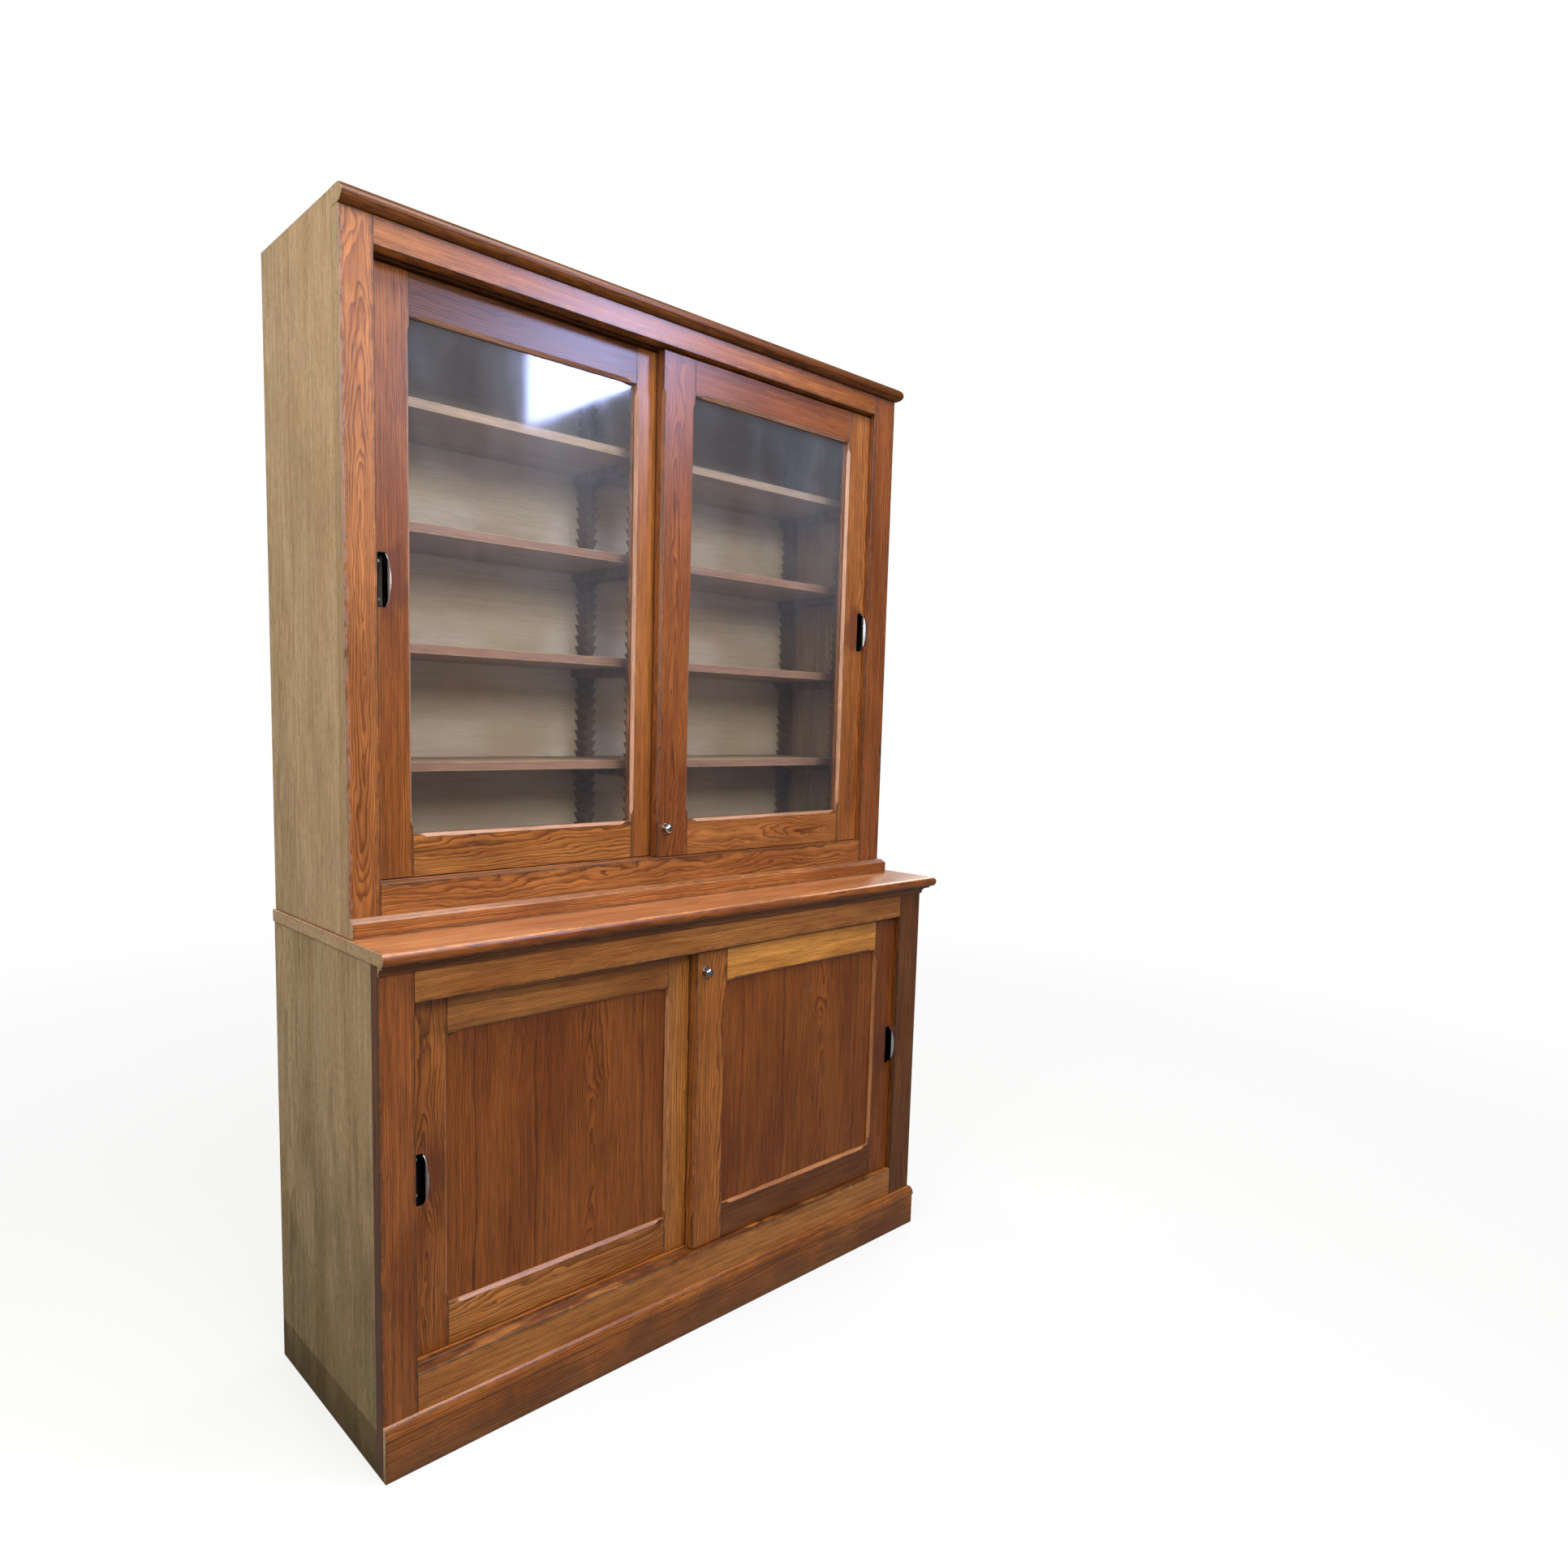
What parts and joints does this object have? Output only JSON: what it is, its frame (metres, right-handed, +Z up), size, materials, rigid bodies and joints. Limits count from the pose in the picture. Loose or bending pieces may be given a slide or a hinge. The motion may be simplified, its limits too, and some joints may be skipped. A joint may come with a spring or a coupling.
{
  "type": "laboratory cabinet",
  "caption": "Tall two-stage laboratory cabinet of varnished pine: a glazed case with sliding doors and shelves on notched ladders, set back on a base with sliding panel doors.",
  "frame": {"origin": "on the floor under the middle of the bounding box", "axes": "+X to the right seen from the front, +Y from the front to the back, +Z up"},
  "size_m": [1.523, 0.51, 2.2],
  "materials": {
    "varnished_pine": "gloss varnish",
    "door_pine": "gloss varnish",
    "counter_pine": "gloss varnish",
    "raw_pine": "bare and dusty",
    "back_board": "matt",
    "shelf_pine": "satin varnish",
    "panel_pine": "dark varnish",
    "clear_glass": "clear",
    "chrome": "polished, worn"
  },
  "bodies": {
    "cabinet": {"base_back": "back_board", "base_bottom_rail": "varnished_pine", "base_floor": "shelf_pine", "base_left_side": "raw_pine", "base_left_stile": "varnished_pine", "base_right_side": "varnished_pine", "base_right_stile": "varnished_pine", "base_shelf": "shelf_pine", "base_top_guide": "shelf_pine", "base_top_rail": "varnished_pine", "cornice": "varnished_pine", "counter_cove": "varnished_pine", "counter_top": "counter_pine", "plinth": "varnished_pine", "shelf_1": "shelf_pine", "shelf_2": "shelf_pine", "shelf_3": "shelf_pine", "shelf_4": "shelf_pine", "shelf_ladder_left": "shelf_pine", "shelf_ladder_middle": "shelf_pine", "shelf_ladder_right": "shelf_pine", "upper_back": "back_board", "upper_bottom_rail": "varnished_pine", "upper_floor": "shelf_pine", "upper_left_side": "raw_pine", "upper_left_stile": "varnished_pine", "upper_right_side": "varnished_pine", "upper_right_stile": "varnished_pine", "upper_roof": "varnished_pine", "upper_skirt": "varnished_pine", "upper_top_guide": "shelf_pine", "upper_top_rail": "varnished_pine"},
    "base_left_door": {"base_left_door_bottom_rail": "door_pine", "base_left_door_left_stile": "door_pine", "base_left_door_panel": "panel_pine", "base_left_door_pull": "chrome", "base_left_door_right_stile": "door_pine", "base_left_door_top_rail": "door_pine"},
    "base_right_door": {"base_lock_barrel": "chrome", "base_right_door_bottom_rail": "door_pine", "base_right_door_left_stile": "door_pine", "base_right_door_panel": "panel_pine", "base_right_door_pull": "chrome", "base_right_door_right_stile": "door_pine", "base_right_door_top_rail": "door_pine"},
    "base_lock_plunger": {"base_lock_plunger": "chrome"},
    "upper_left_door": {"upper_left_door_bottom_rail": "door_pine", "upper_left_door_glass": "clear_glass", "upper_left_door_left_stile": "door_pine", "upper_left_door_pull": "chrome", "upper_left_door_right_stile": "door_pine", "upper_left_door_top_rail": "door_pine"},
    "upper_right_door": {"upper_lock_barrel": "chrome", "upper_right_door_bottom_rail": "door_pine", "upper_right_door_glass": "clear_glass", "upper_right_door_left_stile": "door_pine", "upper_right_door_pull": "chrome", "upper_right_door_right_stile": "door_pine", "upper_right_door_top_rail": "door_pine"},
    "upper_lock_plunger": {"upper_lock_plunger": "chrome"}
  },
  "joints": [
    {"name": "upper_left_door_slide", "type": "slide", "parent": "cabinet", "child": "upper_left_door", "axis": [1, 0, 0], "range_m": [0, 0.6]},
    {"name": "upper_right_door_slide", "type": "slide", "parent": "cabinet", "child": "upper_right_door", "axis": [1, 0, 0], "range_m": [-0.6, 0]},
    {"name": "upper_lock_push", "type": "slide", "parent": "upper_right_door", "child": "upper_lock_plunger", "axis": [0, 1, 0], "range_m": [0, 0.005], "stiffness_N_per_m": 300},
    {"name": "base_left_door_slide", "type": "slide", "parent": "cabinet", "child": "base_left_door", "axis": [1, 0, 0], "range_m": [0, 0.616]},
    {"name": "base_right_door_slide", "type": "slide", "parent": "cabinet", "child": "base_right_door", "axis": [1, 0, 0], "range_m": [-0.616, 0]},
    {"name": "base_lock_push", "type": "slide", "parent": "base_right_door", "child": "base_lock_plunger", "axis": [0, 1, 0], "range_m": [0, 0.005], "stiffness_N_per_m": 300}
  ]
}
